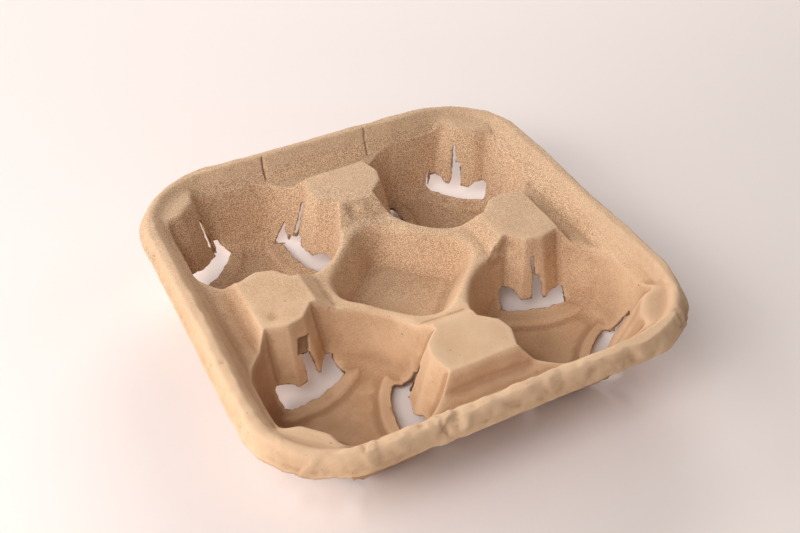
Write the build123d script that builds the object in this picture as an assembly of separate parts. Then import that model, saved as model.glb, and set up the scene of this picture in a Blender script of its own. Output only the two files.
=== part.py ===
from build123d import *
from math import cos, sin, tan, radians, sqrt
import os

# Moulded paper-pulp carrier tray for four cups: one thin shell with drafted walls.
# Millimetres, +Z up, the shell stands on z = 0 and is centred on x = y = 0.
# Every form is made twice by the same function: with skin 0 for the upper side of the shell,
# and with skin equal to the wall for its lower side. The shell is what lies between the two.
# The sizes run from the middle outwards and from the ridge of the rim down.

# Whole tray
tray_height = 45.0
wall = 1.8

# Pocket in the middle, below the web
pocket_floor_half = 21.3
pocket_corner_radius = 6.0
pocket_depth = 21.0
pocket_draft = 23.5
pocket_floor_round = 4.0

# Crests between the pocket and the wells
crest_width = 3.35
crest_round = 1.8

# Cup wells, flattened where they run along the rim
well_floor_radius = 34.5
well_draft = 12.6
well_floor_round = 10.0
well_flat_depth = 3.7
well_flat_round = 12.0

# Gripping fingers, three at equal angles in every well, the first towards the tray corner
finger_count = 3
finger_front_distance = 26.05
finger_side_angle = 33.0
corner_finger_front_half = 9.6
corner_finger_draft = 15.8
post_finger_front_half = 6.9
post_finger_draft = 13.6

# Slots below the fingers: a curved band of the floor is open, and the flaps under the finger
# hang lower than the wall at the two ends of the slot
slot_curve_radius = 48.0
slot_depth = 20.0
slot_half_length = 16.5
flap_tip_half = 6.2
flap_side_half = 9.8

# Raised lobes of the well floors round the slots
lobe_edge_distance = 13.2
lobe_radius = 52.0
lobe_rise = 1.8
lobe_edge_slope = 50.0

# Rim: an inner wall, a rounded ridge, and a lip turned down on the outside
rim_depth = 10.6
rim_slope = 36.0
rim_foot_corner_radius = 27.0
web_drop = 1.4
ridge_width = 4.3
ridge_corner_ease = 3.5
ridge_round = 2.4
lip_drop = 8.5
lip_lean = 3.7
lip_corner_flare = 0.5

# Posts in the middle of the four sides, with a narrow ledge between each and the rim
post_drop = 5.0
post_gap = 3.9
post_inner_slope = 50.0
post_face_run = 4.9
post_edge_round = 2.0
ledge_width = 9.3

# Shelves in the tray corners
shelf_drop = 4.0
shelf_half_length = 13.0
shelf_end_slope = 45.0
shelf_edge_round = 2.0

# The wells and the directions in which they lie
well_directions = {"left": 135.0, "front": 225.0, "right": 315.0, "back": 45.0}

# Openings of the fingers, torn a little differently at each: in every well the corner finger first and
# then turning left. Slot: how far it reaches in front of the finger, and its height at the left end, at
# the tips of the flaps and at the right end. Slits: the place across the finger at the foot and at the
# top, the width at the foot and at the top, and the land left above
well_openings = {
    "left": [
        {"slot": (4.0, 9.5, 7.6, 10.5), "slits": [(-6.1, -7.1, 1.4, 0.7, 13.3)]},
        {"slot": (4.5, 9.0, 6.5, 9.0), "slits": [(-0.5, 0.0, 1.6, 0.7, 19.0)]},
        {"slot": (2.6, 7.0, 8.0, 9.7), "slits": [(7.6, 7.6, 9.2, 8.6, 26.7), (12.4, 11.6, 1.4, 0.7, 15.0)]},
    ],
    "front": [
        {"slot": (4.5, 9.0, 6.5, 9.0), "slits": [(0.0, 0.0, 1.6, 0.7, 19.0)]},
        {"slot": (6.0, 10.8, 6.8, 10.0), "slits": [(6.8, 5.1, 1.3, 0.8, 13.0)]},
        {"slot": (5.4, 10.0, 7.6, 10.0), "slits": [(-2.7, -0.3, 6.6, 3.2, 9.0)]},
    ],
    "right": [
        {"slot": (7.0, 7.0, 5.5, 7.5), "slits": [(13.0, 12.0, 1.8, 0.8, 19.5)]},
        {"slot": (1.6, 12.2, 7.2, 9.6), "slits": [(-2.1, -1.4, 5.8, 3.6, 20.5), (0.0, 0.4, 1.4, 0.6, 3.4)]},
        {"slot": (4.5, 9.0, 6.5, 9.0), "slits": [(0.0, 0.3, 1.6, 0.7, 18.0)]},
    ],
    "back": [
        {"slot": (3.1, 10.2, 7.8, 11.6), "slits": [(0.9, 1.9, 6.4, 4.6, 20.5), (3.5, 3.9, 1.2, 0.6, 11.2)]},
        {"slot": (4.5, 9.0, 6.5, 9.0), "slits": [(0.0, -0.3, 1.5, 0.7, 18.0)]},
        {"slot": (4.5, 9.0, 6.5, 9.0), "slits": [(0.0, 0.2, 1.6, 0.7, 18.0)]},
    ],
}

# Heights that follow
rim_foot_height = tray_height - rim_depth
lip_foot_height = tray_height - lip_drop
web_height = rim_foot_height - web_drop
post_height = tray_height - post_drop
shelf_height = tray_height - shelf_drop
pocket_floor_height = web_height - pocket_depth
well_floor_height = wall

# Distances from the middle that follow
pocket_top_half = pocket_floor_half + pocket_depth * tan(radians(pocket_draft))
pocket_top_radius = pocket_corner_radius + pocket_depth * tan(radians(pocket_draft))
pocket_reach = (pocket_top_half - pocket_top_radius) * sqrt(2) + pocket_top_radius
well_top_radius = well_floor_radius + (web_height - well_floor_height) * tan(radians(well_draft))
well_distance = pocket_top_half + crest_width + well_top_radius
well_offset = well_distance / sqrt(2)
well_flat_distance = well_floor_radius - well_flat_depth
rim_foot_half = well_offset + well_flat_distance + (rim_foot_height - well_floor_height) * tan(radians(well_draft))
rim_run = rim_depth * tan(radians(rim_slope))
ridge_half = rim_foot_half + rim_run + ridge_width
ridge_corner_radius = rim_foot_corner_radius + rim_run + ridge_width + ridge_corner_ease
tray_half = ridge_half + lip_lean
lip_corner_radius = ridge_corner_radius - lip_corner_flare
post_foot = rim_foot_half - ledge_width
post_outer_edge = post_foot - post_face_run
post_inner_foot = pocket_reach + post_gap

# How far helper blocks reach past the shell
overlap = 1.0
deep = 10.0
far = 60.0
field_half = (rim_foot_half + tray_half) / 2 + overlap
field_corner_radius = lip_corner_radius - (tray_half - field_half)


def rounded_square(half, corner_radius, height):
    """A level rounded square as a sketch."""
    with BuildSketch(Plane.XY.offset(height)) as outline:
        RectangleRounded(2 * half, 2 * half, corner_radius)
    return outline.sketch


def drafted_square(half, corner_radius, foot, top, slope):
    """A rounded square block from foot to top that narrows upwards by the slope."""
    return extrude(rounded_square(half, corner_radius, foot), amount=top - foot, taper=slope)


def edges_at_height(body, height):
    """The edges that lie wholly in one level."""
    return [edge for edge in body.edges() if edge.bounding_box().size.Z < wall / 100
            and abs(edge.center().Z - height) < wall / 100]


def turned(shape, number, count):
    """A copy turned about the middle, as one of a round of equal steps."""
    return Rot(0, 0, 360.0 / count * number) * shape


def lip_block(skin):
    """The outside of the rim: the lip leans in towards the top, and flares more at the corners."""
    lean = lip_lean / lip_drop
    inset = skin * sqrt(1 + lean ** 2)
    foot_growth = lean * overlap - inset
    top_growth = lean * skin - inset
    foot = rounded_square(tray_half + foot_growth, lip_corner_radius + foot_growth, lip_foot_height - overlap)
    top = rounded_square(ridge_half + top_growth, ridge_corner_radius + top_growth, tray_height - skin)
    return loft([foot, top], ruled=True)


def rim_space(skin):
    """The open space inside the rim, down to the web."""
    foot = web_height - skin
    slope = radians(rim_slope)
    growth = skin / cos(slope) - (rim_foot_height - foot) * tan(slope)
    return drafted_square(rim_foot_half + growth, rim_foot_corner_radius + growth, foot, far + foot, -rim_slope)


def rim_ring(skin):
    """The rim, with its ridge rounded on the upper side."""
    ring = lip_block(skin) - rim_space(skin)
    if skin > 0:
        return ring
    return fillet(edges_at_height(ring, tray_height), ridge_round)


def field():
    """A plain block that ends inside the rim wall and fills the middle of the tray."""
    return drafted_square(field_half, field_corner_radius, -deep, tray_height - shelf_drop / 2, 0)


def ground():
    """The field with a wide slab below the foot of the lip, so that the lip ends in a plain edge."""
    depth = lip_foot_height + deep
    slab = Pos(0, 0, lip_foot_height - depth / 2) * Box(4 * tray_half, 4 * tray_half, depth)
    return field() + slab


def rounded_profile(points, round_points, radius, plane):
    """A closed outline on a plane, with some of its corners rounded."""
    with BuildSketch(plane) as outline:
        Polygon(*points, align=None)
        corners = [plane.from_local_coords((x, y, 0)) for x, y in round_points]
        chosen = [v for v in outline.vertices() if min((Vector(v) - corner).length for corner in corners) < radius / 10]
        fillet(chosen, radius)
    return outline.sketch


def post_bar(skin):
    """A bar along the +Y side: inner face, flat top and outward face, down to the web."""
    low = web_height - deep
    foot = web_height - skin
    top = post_height - skin
    rise = post_height - web_height
    inner = radians(post_inner_slope)
    inner_foot = post_inner_foot + skin / cos(inner) - skin * tan(inner)
    outer_shift = skin * (sqrt(post_face_run ** 2 + rise ** 2) - post_face_run) / rise
    inner_edge = (inner_foot + rise * tan(inner), top)
    outer_edge = (post_outer_edge - outer_shift, top)
    section = [
        (inner_foot, low),
        (post_foot - outer_shift, low),
        (post_foot - outer_shift, foot),
        outer_edge,
        inner_edge,
        (inner_foot, foot),
    ]
    profile = rounded_profile(section, [inner_edge, outer_edge], max(post_edge_round - skin, wall / 4), Plane.YZ)
    return extrude(profile, amount=well_offset - deep, both=True)


def corner_shelf(skin):
    """A flat shelf across the +X+Y corner, with sloping ends."""
    low = web_height - deep
    top = shelf_height - skin
    slope = radians(shelf_end_slope)
    half_top = shelf_half_length + skin * tan(slope) - skin / cos(slope)
    half_low = half_top + (top - low) * tan(slope)
    right_end = (half_top, top)
    left_end = (-half_top, top)
    section = [(-half_low, low), (half_low, low), right_end, left_end]
    start = Plane(origin=(well_offset, well_offset, 0), x_dir=(-1, 1, 0), z_dir=(1, 1, 0))
    profile = rounded_profile(section, [right_end, left_end], max(shelf_edge_round - skin, wall / 4), start)
    return extrude(profile, amount=tray_half * sqrt(2) - well_distance)


def finger(skin, front_half, draft):
    """One hollow gripping finger, pointing along +X from the well centre: a flat front and two sides."""
    inset = skin / cos(radians(draft))
    side = radians(finger_side_angle)
    front = finger_front_distance + inset
    half = front_half - inset * tan(side / 2)
    reach = well_floor_radius
    back = front + reach * tan(side)
    end = back + far
    section = [
        (front, half),
        (front, -half),
        (back, -half - reach),
        (end, -half - reach),
        (end, half + reach),
        (back, half + reach),
    ]
    with BuildSketch() as outline:
        Polygon(*section, align=None)
    return extrude(outline.sketch, amount=far, taper=draft)


def floor_lobe(skin):
    """The low raised lobe of the well floor round a slot, along +X from the well centre."""
    slope = radians(lobe_edge_slope)
    top = well_floor_height + lobe_rise - skin
    top_radius = lobe_radius - lobe_rise * tan(slope) + skin * tan(slope) - skin / cos(slope)
    foot_radius = top_radius + (top + deep) * tan(slope)
    cone = Solid.make_cone(foot_radius, top_radius, top + deep)
    return Pos(lobe_edge_distance + lobe_radius, 0, -deep) * cone


def well_outline(skin):
    """The plan of a well at its floor: a circle with two flat sides along the foot of the rim wall."""
    slope = radians(well_draft)
    growth = skin / cos(slope) - skin * tan(slope)
    radius = well_floor_radius + growth
    flat = well_flat_distance + growth
    size = flat + 2 * radius
    middle = flat - size / 2
    with BuildSketch(Plane.XY.offset(well_floor_height - skin)) as outline:
        Circle(radius)
        with Locations(Rot(0, 0, -45) * Pos(middle, middle, 0)):
            Rectangle(size, size, mode=Mode.INTERSECT)
        fillet(outline.vertices(), well_flat_round)
    return outline.sketch


def well_space(skin):
    """The open space of one cup well round the origin, its corner finger along +X."""
    foot = well_floor_height - skin
    space = extrude(well_outline(skin), amount=far, taper=-well_draft)
    space = fillet(edges_at_height(space, foot), well_floor_round + skin)
    for number in range(finger_count):
        if number == 0:
            rib = finger(skin, corner_finger_front_half, corner_finger_draft)
        else:
            rib = finger(skin, post_finger_front_half, post_finger_draft)
        space = space - turned(rib, number, finger_count) - turned(floor_lobe(skin), number, finger_count)
    return space


def in_well(shape, direction):
    """Moves a shape from the origin into the well that lies in the given direction."""
    angle = radians(direction)
    return Pos(well_distance * cos(angle), well_distance * sin(angle), 0) * Rot(0, 0, direction) * shape


def pocket_space(skin):
    """The open space of the pocket in the middle, its sides facing the wells."""
    foot = pocket_floor_height - skin
    slope = radians(pocket_draft)
    growth = skin / cos(slope) - skin * tan(slope)
    space = drafted_square(pocket_floor_half + growth, pocket_corner_radius + growth, foot, foot + far, -pocket_draft)
    space = fillet(edges_at_height(space, foot), pocket_floor_round + skin)
    return Rot(0, 0, 45) * space


def web_with_pocket(skin, base):
    """The middle of the tray without its wells, the crest round the pocket rounded on the upper side."""
    inside = base - rim_space(skin) - pocket_space(skin)
    if skin > 0:
        return inside
    level = edges_at_height(inside, web_height)
    crest = [edge for edge in level if max(abs(edge.center().X), abs(edge.center().Y)) < pocket_reach + overlap]
    return fillet(crest, crest_round)


def body_below(skin, base):
    """Everything below the upper side of the shell, or below its lower side."""
    inside = web_with_pocket(skin, base)
    post = post_bar(skin) & field()
    shelf = corner_shelf(skin) & field()
    for number in range(4):
        inside = inside + turned(post, number, 4) + turned(shelf, number, 4)
    body = rim_ring(skin) + inside
    space = well_space(skin)
    for direction in well_directions.values():
        body = body - in_well(space, direction)
    return body


def slot(reach, left_height, tip_height, right_height):
    """The opening below a finger, along +X from the well centre: it follows a curve round the finger."""
    section = [
        (-slot_half_length, -deep),
        (slot_half_length, -deep),
        (slot_half_length, left_height),
        (flap_side_half, left_height),
        (flap_tip_half, tip_height),
        (-flap_tip_half, tip_height),
        (-flap_side_half, right_height),
        (-slot_half_length, right_height),
    ]
    inner = finger_front_distance - reach
    with BuildSketch(Plane.YZ.offset(inner)) as outline:
        Polygon(*section, align=None)
    curve = Pos(inner + slot_curve_radius, 0, 0) * Cylinder(slot_curve_radius, 4 * deep)
    return extrude(outline.sketch, amount=slot_depth) & curve


def slit(finger_top, foot_place, top_place, foot_width, top_width, land):
    """An upright slit between the flaps of one finger, up to the land below the top of the finger."""
    top = finger_top - land
    section = [
        (foot_place - foot_width / 2, 0),
        (foot_place + foot_width / 2, 0),
        (top_place + top_width / 2, top),
        (top_place - top_width / 2, top),
    ]
    with BuildSketch(Plane.YZ.offset(finger_front_distance - overlap)) as outline:
        Polygon(*section, align=None)
    return extrude(outline.sketch, amount=slot_depth)


def finger_opening(number, sizes):
    """The slot and the slits of one finger, along +X from the well centre."""
    finger_top = shelf_height if number == 0 else post_height
    opening = slot(*sizes["slot"])
    for slit_sizes in sizes["slits"]:
        opening = opening + slit(finger_top, *slit_sizes)
    return opening


def carrier_tray():
    """The whole shell with its openings."""
    shell = body_below(0, field()) - body_below(wall, ground())
    for well, direction in well_directions.items():
        for number, sizes in enumerate(well_openings[well]):
            opening = turned(finger_opening(number, sizes), number, finger_count)
            shell = shell - in_well(opening, direction)
    return shell


tray = carrier_tray()
os.makedirs("parts", exist_ok=True)
export_step(tray, "parts/carrier_tray.step")
print("carrier tray", len(tray.solids()), "solid", round(tray.volume / 1000, 1), "cm3")
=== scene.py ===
# %% [markdown]
# A carrier for four takeaway cups, moulded from wet paper pulp and dried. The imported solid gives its
# form with clean faces. This lesson turns it into felted pulp, step by step: slits torn further open,
# softened edges, a slightly wavy wall, dents, ragged tears, cracks, and a speckled fibrous finish. It
# stands on a pale table in soft window light.

# %% The frame
import math
import bmesh
import bpy
import numpy as np
from mathutils import Matrix, Vector


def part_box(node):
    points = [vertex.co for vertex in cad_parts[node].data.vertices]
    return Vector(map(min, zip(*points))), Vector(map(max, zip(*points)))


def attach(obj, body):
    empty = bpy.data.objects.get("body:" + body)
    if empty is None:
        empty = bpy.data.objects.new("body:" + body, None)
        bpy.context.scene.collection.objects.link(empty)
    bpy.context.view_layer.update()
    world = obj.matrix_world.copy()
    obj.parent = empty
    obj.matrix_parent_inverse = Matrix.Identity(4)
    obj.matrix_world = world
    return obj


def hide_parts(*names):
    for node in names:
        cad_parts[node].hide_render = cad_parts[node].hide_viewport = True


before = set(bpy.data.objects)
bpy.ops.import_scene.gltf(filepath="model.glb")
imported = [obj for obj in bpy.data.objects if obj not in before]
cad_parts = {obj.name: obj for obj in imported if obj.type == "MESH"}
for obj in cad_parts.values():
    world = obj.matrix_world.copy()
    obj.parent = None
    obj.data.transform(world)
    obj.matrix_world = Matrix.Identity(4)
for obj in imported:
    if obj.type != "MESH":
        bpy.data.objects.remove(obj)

scene = bpy.context.scene
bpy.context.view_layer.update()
cad_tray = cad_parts["carrier_tray"]
low_corner, high_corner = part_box("carrier_tray")
MM = 0.001
tray_half = high_corner.x
tray_height = high_corner.z
print("tray", round(2 * tray_half / MM, 1), "mm wide and", round(tray_height / MM, 1), "mm high")

# %% [markdown]
# The camera stands in front of the tray and looks down on it, a little from the left. A long lens
# keeps the far rim nearly as wide as the near one. Its place is given as a target that it looks at, and
# a direction and distance from there, so the picture can be turned about with one number. The lens was
# measured in pixels of a picture 800 pixels wide, and Blender wants it in millimetres of its sensor.

# %% The camera
camera_azimuth = math.radians(-27.368)
camera_elevation = math.radians(40.760)
camera_roll = math.radians(0.085)
camera_distance = 633.55 * MM
camera_target = Vector((48.29, 95.21, -59.76)) * MM
camera_sees_to = 20.0
lens_pixels = 1030.91
picture_width = 800
sensor_width = 36.0

towards_camera = Vector((
    math.sin(camera_azimuth) * math.cos(camera_elevation),
    -math.cos(camera_azimuth) * math.cos(camera_elevation),
    math.sin(camera_elevation),
))
level_right = Vector((math.cos(camera_azimuth), math.sin(camera_azimuth), 0.0))
level_up = towards_camera.cross(level_right)
camera_right = math.cos(camera_roll) * level_right + math.sin(camera_roll) * level_up
camera_up = towards_camera.cross(camera_right)
camera_place = camera_target + towards_camera * camera_distance

camera = bpy.data.objects.new("camera", bpy.data.cameras.new("camera"))
camera.data.sensor_width = sensor_width
camera.data.lens = lens_pixels * sensor_width / picture_width
camera.data.clip_end = camera_sees_to
camera.matrix_world = Matrix((
    (camera_right.x, camera_up.x, towards_camera.x, camera_place.x),
    (camera_right.y, camera_up.y, towards_camera.y, camera_place.y),
    (camera_right.z, camera_up.z, towards_camera.z, camera_place.z),
    (0.0, 0.0, 0.0, 1.0),
))
scene.collection.objects.link(camera)
scene.camera = camera
print("camera lens", round(camera.data.lens, 1), "mm")

# %% [markdown]
# Soft light comes from six windows around the tray. A window is a large lamp, and a large lamp near a
# small object makes soft shadows, where a point of light would make hard ones. Most stand low, which
# favours the walls over the flat tops. The strongest is the one behind. The two at the left stand
# nearest, so the light fades towards the right, and the shadow of the tray falls there.

# %% Light
WINDOW_SIZE = 0.6
WINDOW_POWER = 10.4
SKY_STRENGTH = 0.20
WINDOWS = {
    "left_window": {"azimuth": 180.0, "elevation": 27.0, "distance": 0.95, "share": 0.50},
    "left_front_window": {"azimuth": 208.0, "elevation": 50.0, "distance": 0.95, "share": 0.43},
    "back_window": {"azimuth": 60.0, "elevation": 25.0, "distance": 1.3, "share": 0.84},
    "left_back_window": {"azimuth": 120.0, "elevation": 25.0, "distance": 1.3, "share": 0.52},
    "front_window": {"azimuth": 245.0, "elevation": 38.0, "distance": 1.3, "share": 0.20},
    "right_window": {"azimuth": 0.0, "elevation": 25.0, "distance": 1.3, "share": 0.24},
}


def window_light(name, azimuth, elevation, distance, share):
    """One square lamp in the given direction from the tray, looking at it."""
    turn, height = math.radians(azimuth), math.radians(elevation)
    level = math.cos(height)
    direction = Vector((math.cos(turn) * level, math.sin(turn) * level, math.sin(height)))
    lamp = bpy.data.lights.new(name, "AREA")
    lamp.energy = WINDOW_POWER * share
    lamp.size = WINDOW_SIZE
    window = bpy.data.objects.new(name, lamp)
    window.location = direction * distance
    window.rotation_euler = (-direction).to_track_quat("-Z", "Y").to_euler()
    scene.collection.objects.link(window)


def weak_sky():
    """A weak even sky, which fills the hollows and the shadow on the table."""
    world = bpy.data.worlds.new("sky")
    world.use_nodes = True
    world.node_tree.nodes["Background"].inputs["Strength"].default_value = SKY_STRENGTH
    scene.world = world


for window_name, window_sizes in WINDOWS.items():
    window_light(window_name, **window_sizes)
weak_sky()
scene.view_settings.view_transform = "Standard"
print("windows:", ", ".join(WINDOWS))

# %% [markdown]
# The table is a plain pale sheet, large enough to fill the picture. It lies a hair below the feet of the
# tray, so that two surfaces never share one place. It is stage and no part of the object.

# %% The table
TABLE_HALF = 4.0
TABLE_COLOUR = (0.890, 0.778, 0.733)
TABLE_ROUGHNESS = 0.9
TABLE_GAP = 0.1 * MM


def add_object(name, corners, faces):
    """A new object from corner points and faces."""
    mesh = bpy.data.meshes.new(name)
    mesh.from_pydata(corners, [], faces)
    obj = bpy.data.objects.new(name, mesh)
    scene.collection.objects.link(obj)
    return obj


def table_top():
    """A flat sheet just under the tray, in one matt pale colour."""
    signs = ((-1, -1), (1, -1), (1, 1), (-1, 1))
    corners = [(i * TABLE_HALF, j * TABLE_HALF, -TABLE_GAP) for i, j in signs]
    sheet = add_object("table", corners, [(0, 1, 2, 3)])
    material = bpy.data.materials.new("table_finish")
    material.use_nodes = True
    shader = material.node_tree.nodes["Principled BSDF"]
    shader.inputs["Base Color"].default_value = (*TABLE_COLOUR, 1.0)
    shader.inputs["Roughness"].default_value = TABLE_ROUGHNESS
    sheet.data.materials.append(material)
    return sheet


table = table_top()
print("table", 2 * TABLE_HALF, "m wide")

# %% [markdown]
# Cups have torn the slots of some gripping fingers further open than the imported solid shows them. In
# Blender a Boolean modifier cuts one closed body out of another, or joins the two. Painting the slits as
# dark lines would be quicker, but light has to come through them. All of this works on a copy of the
# tray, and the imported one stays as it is.

# %% Cutting and joining
def level_directions(azimuth):
    """The level direction with the given azimuth, and the one at right angles to its left."""
    turn = math.radians(azimuth)
    return Vector((math.cos(turn), math.sin(turn), 0.0)), Vector((-math.sin(turn), math.cos(turn), 0.0))


def apply_modifiers(obj):
    """Makes what the modifiers of an object show into its own mesh."""
    graph = bpy.context.evaluated_depsgraph_get()
    graph.update()
    mesh = bpy.data.meshes.new_from_object(obj.evaluated_get(graph))
    obj.modifiers.clear()
    obj.data = mesh


def combine(obj, other, way):
    """Cuts another object out of this one, or joins it on, and removes the other."""
    step = obj.modifiers.new(way, "BOOLEAN")
    step.operation = way
    step.object = other
    step.solver = "EXACT"
    apply_modifiers(obj)
    bpy.data.objects.remove(other)


tray = bpy.data.objects.new("pulp_tray", cad_tray.data.copy())
scene.collection.objects.link(tray)
print("copied a tray of", len(tray.data.vertices), "corners")

# %% [markdown]
# A blade is a thin closed body along a line of places, which goes through the wall in one level
# direction. Each place has its own width, so that a cut can narrow towards its end. The first blade is a
# wide one: it opens the front of one finger of the front well, where the pulp gave way beside its gap.

# %% A blade and the first cut
BLADE_DEPTH = (-2.0 * MM, 4.0 * MM)
PLACE_CORNERS = 4
ROUND_A_PLACE = ((0, 1), (1, 3), (3, 2), (2, 0))
RECESS = (105.0, ((-61.1, -23.2, 22.4, 6.4), (-59.6, -20.8, 30.4, 6.4)))


def blade(azimuth, places):
    """A thin solid along a line of places, each with the width of the cut there, in millimetres."""
    through, aside = level_directions(azimuth)
    corners = []
    for x, y, z, width in places:
        for depth in BLADE_DEPTH:
            for side in (-0.5, 0.5):
                corners.append(Vector((x, y, z)) * MM + through * depth + aside * (side * width * MM))
    last = PLACE_CORNERS * (len(places) - 1)
    faces = [(0, 1, 3, 2)]
    for step in range(0, last, PLACE_CORNERS):
        after = step + PLACE_CORNERS
        for first, second in ROUND_A_PLACE:
            faces.append((step + first, after + first, after + second, step + second))
    faces.append((last, last + 2, last + 3, last + 1))
    return add_object("blade", corners, faces)


combine(tray, blade(*RECESS), "DIFFERENCE")
print("cut a recess", RECESS[1][0][3], "mm wide")

# %% [markdown]
# A scrap of pulp has stayed behind that opening, a step deeper than the wall. It is a small flat box,
# turned as the finger is, and it leans by the draft of the finger, the small slope that lets a moulded
# part leave its mould. Joined to the tray, it closes the recess again.

# %% A scrap behind the gap
FINGER_DRAFT = math.radians(13.6)
SCRAP_DIRECTION = 105.0
SCRAP_MIDDLE = (-60.3, -21.95, 26.6)
SCRAP_HALF = (0.8, 4.2, 5.2)
SCRAP_SUNK = 2.1 * MM
SCRAP_LEAN = math.tan(FINGER_DRAFT)
BOX_FACES = [(0, 1, 3, 2), (4, 6, 7, 5), (0, 4, 5, 1), (2, 3, 7, 6), (0, 2, 6, 4), (1, 5, 7, 3)]


def scrap():
    """A small flat box behind a gap, in line with the front of its finger."""
    through, aside = level_directions(SCRAP_DIRECTION)
    middle = Vector(SCRAP_MIDDLE) * MM + through * SCRAP_SUNK
    deep, wide, tall = (half * MM for half in SCRAP_HALF)
    corners = []
    for i in (-1, 1):
        for j in (-1, 1):
            for k in (-1, 1):
                leaning = through * (i * deep + k * tall * SCRAP_LEAN)
                corners.append(middle + leaning + aside * j * wide + Vector((0, 0, k * tall)))
    return add_object("scrap", corners, BOX_FACES)


combine(tray, scrap(), "UNION")
print("joined a scrap", 2 * SCRAP_HALF[1], "mm wide and", 2 * SCRAP_HALF[2], "mm high")

# %% [markdown]
# The fingers have slits so that they bend when a cup is pushed in, and rough use has torn these on. Each
# is cut by one blade. The list gives the direction of the cut in degrees, and then its places from the
# slot upwards. The slits end narrow, as tears do, and one of them starts wide, where a slot has lost its
# corner.

# %% Torn slits
SLITS = (
    (45.0, ((72.4, 77.6, 17.5, 1.5), (73.5, 79.0, 25.0, 1.3), (74.6, 80.2, 30.5, 1.0))),
    (80.0, ((59.7, 82.4, 4.0, 1.6), (62.3, 86.4, 14.0, 1.0))),
    (135.0, ((-69.9, 77.9, 12.5, 1.6), (-71.3, 79.5, 20.8, 1.4), (-72.6, 81.8, 29.0, 1.0))),
    (60.0, ((-25.6, 74.0, 8.0, 1.5), (-23.4, 74.1, 15.7, 1.4),
            (-21.0, 74.2, 24.8, 1.1), (-20.2, 74.3, 27.5, 1.0))),
    (45.0, ((-33.2, 76.6, 2.4, 7.0), (-31.0, 79.2, 6.0, 5.2),
            (-30.6, 80.5, 8.5, 1.9), (-28.5, 80.9, 13.0, 1.2))),
    (75.0, ((60.8, -23.8, 18.5, 1.5), (61.0, -22.1, 26.0, 1.0), (61.1, -21.3, 29.8, 0.8))),
    (345.0, ((-25.1, -54.6, 7.0, 1.5), (-23.0, -56.1, 18.0, 1.4), (-21.2, -57.3, 26.5, 1.0))),
    (345.0, ((84.5, -60.6, 4.0, 1.8), (85.7, -61.8, 9.3, 1.5), (88.0, -64.7, 19.0, 1.0))),
)

for azimuth, places in SLITS:
    combine(tray, blade(azimuth, places), "DIFFERENCE")
print(len(SLITS), "slits cut, and the tray has", len(tray.data.vertices), "corners")

# %% [markdown]
# Pulp is never as crisp as its mould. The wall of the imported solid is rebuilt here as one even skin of
# small squares, which can then be softened, dented and torn. Subdividing wouldn't do, because the solid
# has long thin faces and they stay long and thin. Squares of less than half a millimetre are fine enough
# for the torn edges and for the slits, which are no wider than a millimetre at their ends.

# %% A fine skin over the solid
SKIN_STEP = 0.44 * MM


def fine_skin(obj):
    """Rebuilds an object as small even squares."""
    rebuild = obj.modifiers.new("rebuild", "REMESH")
    rebuild.mode = "VOXEL"
    rebuild.voxel_size = SKIN_STEP
    rebuild.use_smooth_shade = True
    apply_modifiers(obj)


fine_skin(tray)
print("skin has", len(tray.data.polygons), "squares")

# %% [markdown]
# Two helpers do all the shaping. The first reads the points of a mesh into one table of numbers and
# writes them back. The second is soft noise: random values on a grid, smoothly blended between, so that
# neighbouring points move together. A large grain bends the wall, a small one makes an edge ragged. Each
# noise has a seed, a number that makes the same random values every time.

# %% Points and soft noise
NOISE_GRID = 32
SHIFT_PER_SEED = 0.37


def points_of(obj):
    """The points of an object's mesh, one row each, in metres."""
    flat = np.empty(len(obj.data.vertices) * 3)
    obj.data.vertices.foreach_get("co", flat)
    return flat.reshape(-1, 3)


def move_points(obj, points):
    """Puts changed points back into the mesh."""
    obj.data.vertices.foreach_set("co", points.ravel())
    obj.data.update()


def eased(part):
    """Makes an even run from 0 to 1 start and end gently."""
    return part * part * (3.0 - 2.0 * part)


def rise(value, start, end):
    """A smooth step: 0 below start, 1 above end."""
    return eased(np.clip((value - start) / (end - start), 0.0, 1.0))


def soft_noise(points, grain, seed):
    """Smooth random values from -1 to 1 at the points, with hills about one grain wide."""
    values = np.random.default_rng(seed).uniform(-1.0, 1.0, (NOISE_GRID,) * 3)
    place = points / grain + SHIFT_PER_SEED * seed
    cell = np.floor(place).astype(int)
    part = eased(place - cell)
    total = np.zeros(len(points))
    for corner in np.ndindex(2, 2, 2):
        share = np.prod(np.where(corner, part, 1.0 - part), axis=1)
        x, y, z = ((cell + corner) % NOISE_GRID).T
        total += share * values[x, y, z]
    return total


print("noise at the first point:", round(float(soft_noise(points_of(tray)[:1], 5 * MM, 1)[0]), 3))

# %% [markdown]
# The torn edges have to stay where they are while everything else is softened, or the thin wall would
# melt away there. They can be found without knowing where the slots are. The normal of a point says which
# way the surface faces. Averaged over a millimetre or so, the normals of both faces of the wall and of
# the cut between them cancel out, which happens nowhere else.

# %% Where the wall ends
EDGE_REACH = 1.8 * MM
CANCELLED = 0.46
INTACT = 0.66
LIP_BAND = 13.0 * MM
ROUNDS_PER_SQUARE_STEP = 2.5


def point_pairs(obj):
    """The two end points of every edge of the mesh."""
    pairs = np.empty(2 * len(obj.data.edges), dtype=np.int32)
    obj.data.edges.foreach_get("vertices", pairs)
    return pairs.reshape(-1, 2).T


def point_normals(obj):
    """The direction that the surface faces at every point."""
    normals = np.empty(3 * len(obj.data.vertices))
    obj.data.vertices.foreach_get("normal", normals)
    return normals.reshape(-1, 3)


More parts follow.
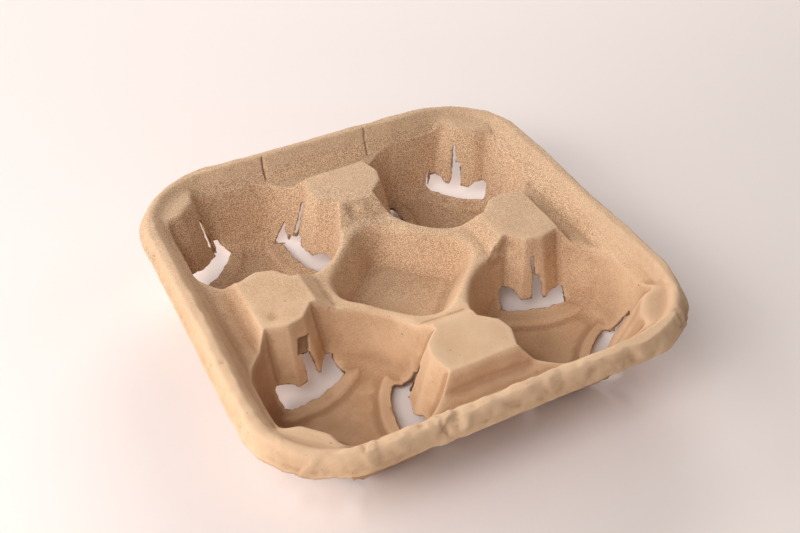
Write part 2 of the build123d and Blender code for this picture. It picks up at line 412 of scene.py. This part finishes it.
def neighbour_mean(values, pairs, reach):
    """Averages the row of each point with the rows of its neighbours, until it covers about the reach."""
    first, second = pairs
    size = len(values)
    count = 1 + np.bincount(first, minlength=size) + np.bincount(second, minlength=size)
    for _ in range(round(ROUNDS_PER_SQUARE_STEP * (reach / SKIN_STEP) ** 2)):
        total = values.copy()
        for axis in range(values.shape[1]):
            column = values[:, axis]
            received = np.bincount(first, column[second], size)
            received += np.bincount(second, column[first], size)
            total[:, axis] += received
        values = total / count[:, None]
    return values


def wall_ends(obj):
    """1 where the wall ends, because the normals of its two faces cancel out there, and 0 elsewhere."""
    mean = neighbour_mean(point_normals(obj), point_pairs(obj), EDGE_REACH)
    return 1.0 - rise(np.linalg.norm(mean, axis=1), CANCELLED, INTACT)


def at_lip(points):
    """1 on the rim of the tray, 0 inside it."""
    start = tray_half - LIP_BAND
    return rise(abs(points[:, :2]).max(axis=1), start, start + EDGE_REACH)


edge_share = wall_ends(tray)
lip_share = at_lip(points_of(tray))
torn_share = edge_share * (1.0 - lip_share)
print("points on edges:", int((edge_share > 0.5).sum()), "of which torn:", int((torn_share > 0.5).sum()))

# %% [markdown]
# Softening moves each point towards its neighbours, again and again. The more rounds, the wider the
# rounding of an edge. A bevel would round only the edges it is given, all to one size, and look machined.
# The crests round the pocket and the shelves in the corners of the tray are softer than the rest, because
# the felt is thick there, so they are softened once more.

# %% Softened edges
SOFT_REACH = 0.72 * MM
WIDE_SOFT_REACH = 2.8 * MM
CREST_FADE = (37.0 * MM, 43.0 * MM)
CREST_RISE = (23.0 * MM, 29.0 * MM)
CORNER_RISE = (67.0 * MM, 78.0 * MM)
SOFT_STEP = 0.5
SOFT_ROUNDS = 2.0
EDGE_KEPT = 0.93


def soften(obj, share, reach):
    """Rounds the edges of a mesh to about the given reach, by the given share at each point."""
    group = obj.vertex_groups.new(name="soft_share")
    levels = np.round(share, 1)
    for level in np.unique(levels):
        if level > 0.0:
            group.add(np.nonzero(levels == level)[0].tolist(), float(level), "REPLACE")
    smooth = obj.modifiers.new("soften", "SMOOTH")
    smooth.factor = SOFT_STEP
    smooth.iterations = round((SOFT_ROUNDS * reach / SKIN_STEP) ** 2)
    smooth.vertex_group = group.name
    apply_modifiers(obj)
    obj.vertex_groups.clear()


def thick_places(points):
    """1 on the crests round the pocket and on the shelves in the corners, 0 elsewhere."""
    corner = rise(abs(points[:, :2]).min(axis=1), *CORNER_RISE)
    near_middle = 1.0 - rise(np.hypot(points[:, 0], points[:, 1]), *CREST_FADE)
    return np.maximum(corner, near_middle * rise(points[:, 2], *CREST_RISE))


soften(tray, 1.0 - EDGE_KEPT * edge_share, SOFT_REACH)
soften(tray, thick_places(points_of(tray)) * (1.0 - edge_share), WIDE_SOFT_REACH)
print("edges softened to about", SOFT_REACH / MM, "mm and crests to", WIDE_SOFT_REACH / MM, "mm")

# %% [markdown]
# Drying warps the wall by a few tenths of a millimetre, and the lip, which is handled and trimmed, is
# lumpier than the rest, above all in front. Both are soft noise along all three directions. Each layer
# has a grain, a height and a seed, and large slow waves carry small quick ones. A Displace modifier makes
# such waves too, but here every point can have its own share.

# %% A wavy wall
WAVES = ((34.0 * MM, 0.50 * MM, 11), (12.0 * MM, 0.26 * MM, 21), (5.0 * MM, 0.12 * MM, 31))
LIP_LUMPS = ((6.0 * MM, 0.62 * MM, 61), (2.6 * MM, 0.26 * MM, 81))
LUMPY_RISE = (40.0 * MM, 95.0 * MM)
LUMPS_ELSEWHERE = 0.4


def noise_vectors(points, grain, seed):
    """Three soft noises at once, one for each direction."""
    return np.stack([soft_noise(points, grain, seed + step) for step in range(3)], axis=1)


def roughen(points, share, layers):
    """Moves the points that have a share by layers of noise, each with a grain, a height and a seed."""
    chosen = share > 0.0
    for grain, height, seed in layers:
        points[chosen] += height * share[chosen, None] * noise_vectors(points[chosen], grain, seed)


points = points_of(tray)
roughen(points, np.ones(len(points)), WAVES)
lumpy_share = LUMPS_ELSEWHERE + (1.0 - LUMPS_ELSEWHERE) * rise(-points[:, 1], *LUMPY_RISE)
roughen(points, lip_share * lumpy_share, LIP_LUMPS)
print("waves up to", WAVES[0][1] / MM, "mm high, lumps on the lip up to", LIP_LUMPS[0][1] / MM, "mm")

# %% [markdown]
# Use has left its marks. Fingers and cups push a post or the lip in here and out there, and one gripping
# finger is bent into its well. Each push has a place, a reach and a way that the wall moves, all in
# millimetres. It fades out smoothly, as a brush does in sculpting, and the wall moves with both of its
# faces. The feet of the tray stay flat, because it stands on them.

# %% Dents and bumps
PUSHES = (
    ((-67.4, -99.3, 44.9), 2.0, (0.3, 0.4, -0.9)),
    ((-63.6, -100.5, 44.9), 1.6, (0.0, -0.2, 0.5)),
    ((-44.0, -100.3, 45.0), 2.2, (0.2, 0.7, -0.8)),
    ((-40.5, -102.0, 44.5), 1.8, (0.0, -0.5, 0.3)),
    ((-30.2, -103.6, 44.1), 2.4, (0.0, 0.9, -0.5)),
    ((-26.0, -104.8, 41.0), 2.6, (0.0, -0.8, 0.0)),
    ((-41.5, -3.1, 33.7), 4.0, (0.3, 0.0, -0.9)),
    ((-70.5, -11.4, 40.0), 4.5, (0.0, 0.0, -0.7)),
    ((-105.7, 52.0, 40.0), 2.2, (1.1, 0.0, 0.0)),
    ((-100.9, -32.8, 45.0), 1.6, (0.0, 0.0, -0.5)),
    ((72.5, -71.0, 11.0), 10.0, (-1.8, 1.4, 0.0)),
)
FLOOR_KEPT = (3.0 * MM, 8.0 * MM)


def distance_from(points, place):
    """How far every point lies from a place given in millimetres."""
    return np.linalg.norm(points - np.array(place) * MM, axis=1)


def push(points, place, reach, way):
    """How far one push moves every point: most at its place, nothing far from it or at the floor."""
    share = np.exp(-(distance_from(points, place) / (reach * MM)) ** 2)
    share = share * rise(points[:, 2], *FLOOR_KEPT)
    return share[:, None] * np.array(way) * MM


points += sum(push(points, *values) for values in PUSHES)
print(len(PUSHES), "dents and bumps")

# %% [markdown]
# In a few places the felt was pulled off the mould while it was wet, and dried puckered. They get
# stronger noise of a middle grain, whole in the core of the place and fading towards its reach, which is
# given in millimetres.

# %% Rough places
ROUGH_PLACES = (
    ((-1.0, 46.0, 37.0), 10.0),
    ((47.0, -18.0, 34.0), 11.0),
    ((-66.0, -100.0, 44.0), 6.0),
    ((-33.0, -102.5, 43.0), 9.0),
    ((88.0, -98.0, 42.0), 9.0),
)
ROUGH_LAYERS = ((5.0 * MM, 1.25 * MM, 101), (2.4 * MM, 0.45 * MM, 111))
ROUGH_CORE = 0.4

for place, reach in ROUGH_PLACES:
    fade = rise(distance_from(points, place), ROUGH_CORE * reach * MM, reach * MM)
    roughen(points, 1.0 - fade, ROUGH_LAYERS)
print(len(ROUGH_PLACES), "rough places, puckered by up to", ROUGH_LAYERS[0][1] / MM, "mm")

# %% [markdown]
# Where the slots were torn out, fibres part unevenly: the edge wanders by up to a millimetre and ends in
# small points. Noise of three grains moves the points near the slots, most of all on the cut itself. It
# is real shape and no picture of a tear, so it holds from every side. How much each point is torn is
# kept as a mark, so that the finish can darken the fibres there.

# %% Torn edges
TEARS = ((3.6 * MM, 0.60 * MM, 41), (1.5 * MM, 0.34 * MM, 51), (0.8 * MM, 0.24 * MM, 55))
TORN_EDGE_SHARE = (0.42, 0.85)
TORN_DARKNESS = 0.7
TORN_VARIES = 0.5
TORN_PATCHES = (6.0 * MM, 71)

roughen(points, torn_share, TEARS)
torn_patches = TORN_DARKNESS + TORN_VARIES * soft_noise(points, *TORN_PATCHES)
torn_and_shade_mark = rise(torn_share, *TORN_EDGE_SHARE) * torn_patches
print("torn edges wander by", TEARS[0][1] / MM, "mm")

# %% [markdown]
# A few cracks run through the skin where the rim was bent. A crack is a narrow groove along a line of
# places: points close to the line sink into the wall, and the groove is painted dark like the torn edges,
# as painted shade deep in the crack. The line is straight between its places, so the points are shifted
# by a little noise before their distance from it is measured, and the crack comes out crooked.

# %% Cracks
CRACKS = (
    (((-31.3, 98.9, 44.8), (-32.3, 95.4, 40.0), (-32.8, 91.7, 34.9)), 0.55, 0.7),
    (((27.6, 99.2, 44.8), (26.5, 94.5, 38.7), (26.0, 90.3, 33.2)), 0.5, 0.6),
    (((-36.0, -98.2, 44.9), (-35.2, -101.6, 44.9), (-36.1, -104.2, 43.0)), 0.9, 0.2),
    (((-69.0, -96.5, 45.0), (-68.2, -99.5, 45.0), (-68.9, -102.6, 44.6)), 0.9, 0.2),
)
GROOVE_DEPTH = 1.1 * MM
LINE_FADE = (0.3, 1.5)
CROOKED_BY = 0.5 * MM
CROOKED_NOISE = (2.5 * MM, 91)


def line_distance(points, start, end):
    """How far every point lies from the straight line between two places."""
    start, end = np.array(start) * MM, np.array(end) * MM
    along = np.clip((points - start) @ (end - start) / ((end - start) @ (end - start)), 0.0, 1.0)
    return np.linalg.norm(points - start - along[:, None] * (end - start), axis=1)


def near_line(points, places, half_width):
    """1 on a line through places, 0 further from it than one and a half times the half width."""
    distance = np.min([line_distance(points, *ends) for ends in zip(places, places[1:])], axis=0)
    core, fade = LINE_FADE
    return 1.0 - rise(distance, core * half_width * MM, fade * half_width * MM)


move_points(tray, points)
facing = point_normals(tray)
crooked = points + CROOKED_BY * noise_vectors(points, *CROOKED_NOISE)
for places, half_width, darkness in CRACKS:
    groove = near_line(crooked, places, half_width)
    points -= GROOVE_DEPTH * darkness * groove[:, None] * facing
    # The dark of the crack is painted shade.
    torn_and_shade_mark = np.maximum(torn_and_shade_mark, darkness * groove)
move_points(tray, points)
print(len(CRACKS), "cracks up to", round(GROOVE_DEPTH * CRACKS[0][2] / MM, 2), "mm deep")

# %% [markdown]
# The lips of the slits get painted shade in the torn mark, for the dark of the narrow gaps, and the scrap
# behind the gap gets painted shade and dirt there too, but their shape isn't changed.

# %% Dark lips
SLIT_LIP_HALF_WIDTH = 0.55
SLIT_LIP_SHADE = 0.85
SCRAP_SHADE_AND_DIRT = 0.6
SCRAP_MARGIN = 1.4


def in_scrap(points):
    """1 on the scrap behind the gap, 0 elsewhere."""
    through, aside = level_directions(SCRAP_DIRECTION)
    away = points - np.array(SCRAP_MIDDLE) * MM - np.array(through) * SCRAP_SUNK
    deep = abs(away @ np.array(through) - away[:, 2] * SCRAP_LEAN) < SCRAP_MARGIN * SCRAP_HALF[0] * MM
    wide = abs(away @ np.array(aside)) < SCRAP_HALF[1] * MM
    return (deep & wide & (abs(away[:, 2]) < SCRAP_HALF[2] * MM)).astype(float)


for azimuth, places in SLITS:
    lips = near_line(crooked, [place[:3] for place in places], SLIT_LIP_HALF_WIDTH)
    # Painted shade along the lips of the slits.
    torn_and_shade_mark = np.maximum(torn_and_shade_mark, SLIT_LIP_SHADE * lips)
# Painted shade and dirt on the scrap behind the gap.
torn_and_shade_mark = np.maximum(torn_and_shade_mark, SCRAP_SHADE_AND_DIRT * in_scrap(points))
print("points marked as torn:", int((torn_and_shade_mark > 0.5).sum()))

# %% [markdown]
# Creases are painted darker, as painted shade where less light reaches them, and crests are painted
# paler, as a painted highlight. A point lies in a crease when the mean of its neighbours lies outside the
# surface, and on a crest when it lies inside. That distance is written to the mesh for the finish. The
# groove behind the rim is painted a deeper brown on two sides of the tray, as painted shade.

# %% Creases and crests
HOLLOW_REACH = 1.8 * MM
HOLLOW_FULL = 0.18 * MM
GROOVE_START = (75.0 * MM, 80.0 * MM)
GROOVE_END = (97.0 * MM, 101.0 * MM)
GROOVE_TOP = (39.0 * MM, 44.0 * MM)
GROOVE_LEFT_LESS = 1.5 * MM


def write_mark(obj, name, values):
    """Stores one number per point in the mesh, where the finish can read it."""
    mark = obj.data.attributes.new(name, "FLOAT", "POINT")
    mark.data.foreach_set("value", values)


def outer_groove_shade(points):
    """1 in the groove between the posts and the rim, on the front and the left side of the tray, where
    painted shade goes.
    """
    outwards = np.maximum(-points[:, 1], -points[:, 0] - GROOVE_LEFT_LESS)
    inside = rise(outwards, *GROOVE_START) * (1.0 - rise(outwards, *GROOVE_END))
    return inside * (1.0 - rise(points[:, 2], *GROOVE_TOP))


mean_place = neighbour_mean(points, point_pairs(tray), HOLLOW_REACH)
hollow = ((mean_place - points) * point_normals(tray)).sum(axis=1)
# The torn mark also holds painted shade in the slits, the cracks and behind the gap.
write_mark(tray, "torn", np.clip(torn_and_shade_mark, 0.0, 1.0))
write_mark(tray, "hollow", np.clip(hollow / HOLLOW_FULL, -1.0, 1.0) * (1.0 - torn_share))
# The groove mark is painted shade in the groove behind the rim.
write_mark(tray, "groove", outer_groove_shade(points))
print("points in creases:", int((hollow > 0.5 * HOLLOW_FULL).sum()))

# %% [markdown]
# The finished skin is thinned out where it is flat, so that the scene stays light. Tearing can leave a
# crumb that hangs in the air. To find crumbs, every point takes the lowest number among the points it is
# joined to, until nothing changes: then all points of one piece have the same number, and only the
# largest piece is kept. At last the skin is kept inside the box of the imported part.

# %% A lighter mesh
TRIANGLE_LIMIT = 190000


def thin_out(obj, limit):
    """Removes triangles where the surface is flat, down to the limit."""
    triangles = 2 * len(obj.data.polygons)
    if triangles > limit:
        thin = obj.modifiers.new("thin", "DECIMATE")
        thin.ratio = limit / triangles
        apply_modifiers(obj)
    obj.data.shade_smooth()


def crumbs(obj):
    """The numbers of the points that aren't joined to the largest piece of the mesh."""
    first, second = point_pairs(obj)
    piece = np.arange(len(obj.data.vertices))
    settled = False
    while not settled:
        joined = piece.copy()
        lowest = np.minimum(piece[first], piece[second])
        np.minimum.at(joined, first, lowest)
        np.minimum.at(joined, second, lowest)
        joined = joined[joined]
        settled = bool((joined == piece).all())
        piece = joined
    return np.nonzero(piece != np.bincount(piece).argmax())[0].tolist()


def remove_points(obj, numbers):
    """Removes the points with the given numbers and their faces."""
    work = bmesh.new()
    work.from_mesh(obj.data)
    work.verts.ensure_lookup_table()
    bmesh.ops.delete(work, geom=[work.verts[number] for number in numbers], context="VERTS")
    work.to_mesh(obj.data)
    work.free()


def keep_in_box(obj):
    """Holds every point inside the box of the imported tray."""
    inside = np.clip(points_of(obj), np.array(low_corner), np.array(high_corner))
    move_points(obj, inside)


thin_out(tray, TRIANGLE_LIMIT)
crumb_points = crumbs(tray)
remove_points(tray, crumb_points)
keep_in_box(tray)
print("mesh of", len(tray.data.polygons), "triangles, without crumbs of", len(crumb_points), "points")

# %% [markdown]
# A finish in Blender is a net of nodes that ends in one shader. A picture of real pulp would repeat and
# stretch over this form, so the finish is made of noise nodes alone, in real millimetres. Written out one
# by one they make a long script, and this class has a short helper for each kind of node.

# %% Nodes in short words
class Finish:
    """A material with short helpers for its nodes."""

    def __init__(self, name):
        self.material = bpy.data.materials.new(name)
        self.material.use_nodes = True
        self.nodes = self.material.node_tree.nodes
        self.links = self.material.node_tree.links
        self.shader = self.nodes["Principled BSDF"]
        self.place = self.nodes.new("ShaderNodeTexCoord").outputs["Object"]

    def feed(self, socket, value):
        """Sets a socket to a number or colour, or links an output to it."""
        if isinstance(value, bpy.types.NodeSocket):
            self.links.new(value, socket)
        elif isinstance(value, tuple) and len(socket.default_value) == 4:
            socket.default_value = (*value, 1.0)
        else:
            socket.default_value = value

    def noise(self, size, detail=3.0, roughness=0.55):
        """Noise whose hills are about one size wide."""
        node = self.nodes.new("ShaderNodeTexNoise")
        self.feed(node.inputs["Scale"], 1.0 / size)
        self.feed(node.inputs["Detail"], detail)
        self.feed(node.inputs["Roughness"], roughness)
        self.feed(node.inputs["Vector"], self.place)
        return node.outputs["Fac"]

    def spread(self, value, low, high, start=0.0, end=1.0):
        """Turns the range from low to high into the range from start to end."""
        node = self.nodes.new("ShaderNodeMapRange")
        node.interpolation_type = "SMOOTHSTEP"
        for name, number in (("From Min", low), ("From Max", high), ("To Min", start), ("To Max", end)):
            self.feed(node.inputs[name], number)
        self.feed(node.inputs["Value"], value)
        return node.outputs["Result"]

    def mix(self, share, first, second):
        """Mixes two colours."""
        node = self.nodes.new("ShaderNodeMix")
        node.data_type = "RGBA"
        self.feed(node.inputs["Factor"], share)
        self.feed(node.inputs[6], first)
        self.feed(node.inputs[7], second)
        return node.outputs[2]

    def mark(self, name):
        """A number that the mesh holds at each of its points."""
        node = self.nodes.new("ShaderNodeAttribute")
        node.attribute_name = name
        return node.outputs["Fac"]

    def along(self, direction):
        """How far a place lies in a direction from the middle of the tray."""
        node = self.nodes.new("ShaderNodeVectorMath")
        node.operation = "DOT_PRODUCT"
        self.feed(node.inputs[0], self.place)
        node.inputs[1].default_value = direction
        return node.outputs["Value"]

    def bump(self, height, depth, strength):
        """Raises the surface by a height value."""
        node = self.nodes.new("ShaderNodeBump")
        self.feed(node.inputs["Strength"], strength)
        self.feed(node.inputs["Distance"], depth)
        self.feed(node.inputs["Height"], height)
        return node.outputs["Normal"]


finish = Finish("moulded_pulp")
print("a new finish has", len(finish.nodes), "nodes")

# %% [markdown]
# Brown pulp is a felt of short fibres. Its base colour comes in broad paler and darker clouds, with
# smaller pale patches in them. Over it lie the marks of the mesh: painted shade in the groove and the
# creases, and a painted highlight on the crests. Each line mixes one more colour in, by a share that a
# noise or a mark gives.

# %% Clouds, creases and crests
PULP_DARK = (0.560, 0.336, 0.192)
PULP_PALE = (0.710, 0.465, 0.286)
PAINTED_SHADE_COLOUR = (0.34, 0.170, 0.085)
PALE_PATCH_AND_HIGHLIGHT_COLOUR = (0.82, 0.570, 0.370)
CLOUD_SIZE = 24.0 * MM
CLOUD_RANGE = (0.3, 0.7)
PATCH_NOISE = (5.0 * MM, 2.0)
PATCH_RANGE = (0.5, 0.75, 0.0, 0.25)
GROOVE_SHADE_RANGE = (0.0, 1.0, 0.0, 0.42)
CREASE_SHADE_RANGE = (0.1, 1.0, 0.0, 0.6)
CREST_HIGHLIGHT_RANGE = (-0.1, -1.0, 0.0, 0.32)

shade_and_highlight_mark = finish.mark("hollow")
pulp = finish.mix(finish.spread(finish.noise(CLOUD_SIZE), *CLOUD_RANGE), PULP_DARK, PULP_PALE)
pulp = finish.mix(finish.spread(finish.noise(*PATCH_NOISE), *PATCH_RANGE), pulp, PALE_PATCH_AND_HIGHLIGHT_COLOUR)
# Painted shade: the groove behind the rim is mixed towards the dark crease colour.
pulp = finish.mix(finish.spread(finish.mark("groove"), *GROOVE_SHADE_RANGE), pulp, PAINTED_SHADE_COLOUR)
# Painted shade in the creases, then a painted highlight on the crests.
pulp = finish.mix(finish.spread(shade_and_highlight_mark, *CREASE_SHADE_RANGE), pulp, PAINTED_SHADE_COLOUR)
pulp = finish.mix(finish.spread(shade_and_highlight_mark, *CREST_HIGHLIGHT_RANGE), pulp, PALE_PATCH_AND_HIGHLIGHT_COLOUR)
print("cloudy colour made of", len(finish.nodes), "nodes")

# %% [markdown]
# The fibres show as a grain of half a millimetre. Towards the back of the tray, where the light grazes
# the felt, the contrast of the grain is painted stronger, as painted grazing light, and its relief grows
# stronger too. The flat tops of the posts and the rim were pressed and rubbed, and their grain is weaker.
# Dark specks of bark and print are scattered over all.

# %% Grain and specks
GRAIN_DARK = (0.32, 0.172, 0.090)
GRAIN_PALE = (0.94, 0.660, 0.438)
RUBBED_COLOUR = (0.71, 0.475, 0.305)
SPECK_COLOUR = (0.20, 0.11, 0.06)
GRAIN_NOISE = (0.52 * MM, 3.0, 0.75)
GRAIN_RANGE = (0.41, 0.59)
GRAZING_LIGHT_SIDE = (0.30, 0.954, 0.0)
GRAZING_LIGHT_RANGE = (-60.0 * MM, 60.0 * MM, 0.08, 0.85)
UPWARDS = (0.0, 0.0, 1.0)
TOP_RANGE = (39.0 * MM, 40.2 * MM, 0.0, 0.38)
SPECK_NOISE = (1.7 * MM, 2.0, 0.6)
SPECK_RANGE = (0.71, 0.76, 0.0, 0.8)

grain = finish.noise(*GRAIN_NOISE)
grazing_light_share = finish.spread(finish.along(GRAZING_LIGHT_SIDE), *GRAZING_LIGHT_RANGE)
dots = finish.mix(finish.spread(grain, *GRAIN_RANGE), GRAIN_DARK, GRAIN_PALE)
# Painted grazing light: the grain's colour is mixed in more strongly towards the back of the tray.
pulp = finish.mix(grazing_light_share, pulp, dots)
pulp = finish.mix(finish.spread(finish.along(UPWARDS), *TOP_RANGE), pulp, RUBBED_COLOUR)
pulp = finish.mix(finish.spread(finish.noise(*SPECK_NOISE), *SPECK_RANGE), pulp, SPECK_COLOUR)
print("speckled colour made of", len(finish.nodes), "nodes")

# %% [markdown]
# The torn fibres come last, over everything else, together with the painted shade in the slits, the
# cracks and behind the gap. Pulp is quite matt and hardly glossy even at a low angle. The bump node lets
# the light catch the grain without more triangles, which is enough for a relief of a third of a
# millimetre.

# %% The pulp finish
TORN_AND_SHADE_COLOUR = (0.14, 0.065, 0.028)
PULP_ROUGHNESS = 0.93
PULP_GLOSS = 0.15
GRAIN_DEPTH = 0.32 * MM

# Torn fibres, and painted shade in the slits, the cracks and behind the gap.
pulp = finish.mix(finish.mark("torn"), pulp, TORN_AND_SHADE_COLOUR)
finish.feed(finish.shader.inputs["Base Color"], pulp)
finish.feed(finish.shader.inputs["Roughness"], PULP_ROUGHNESS)
finish.feed(finish.shader.inputs["Specular IOR Level"], PULP_GLOSS)
finish.feed(finish.shader.inputs["Normal"], finish.bump(grain, GRAIN_DEPTH, grazing_light_share))
tray.data.materials.clear()
tray.data.materials.append(finish.material)
print("finish:", tray.data.materials[0].name, "of", len(finish.nodes), "nodes")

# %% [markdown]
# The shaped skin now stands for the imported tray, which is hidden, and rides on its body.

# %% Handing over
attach(tray, "root")
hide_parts("carrier_tray")
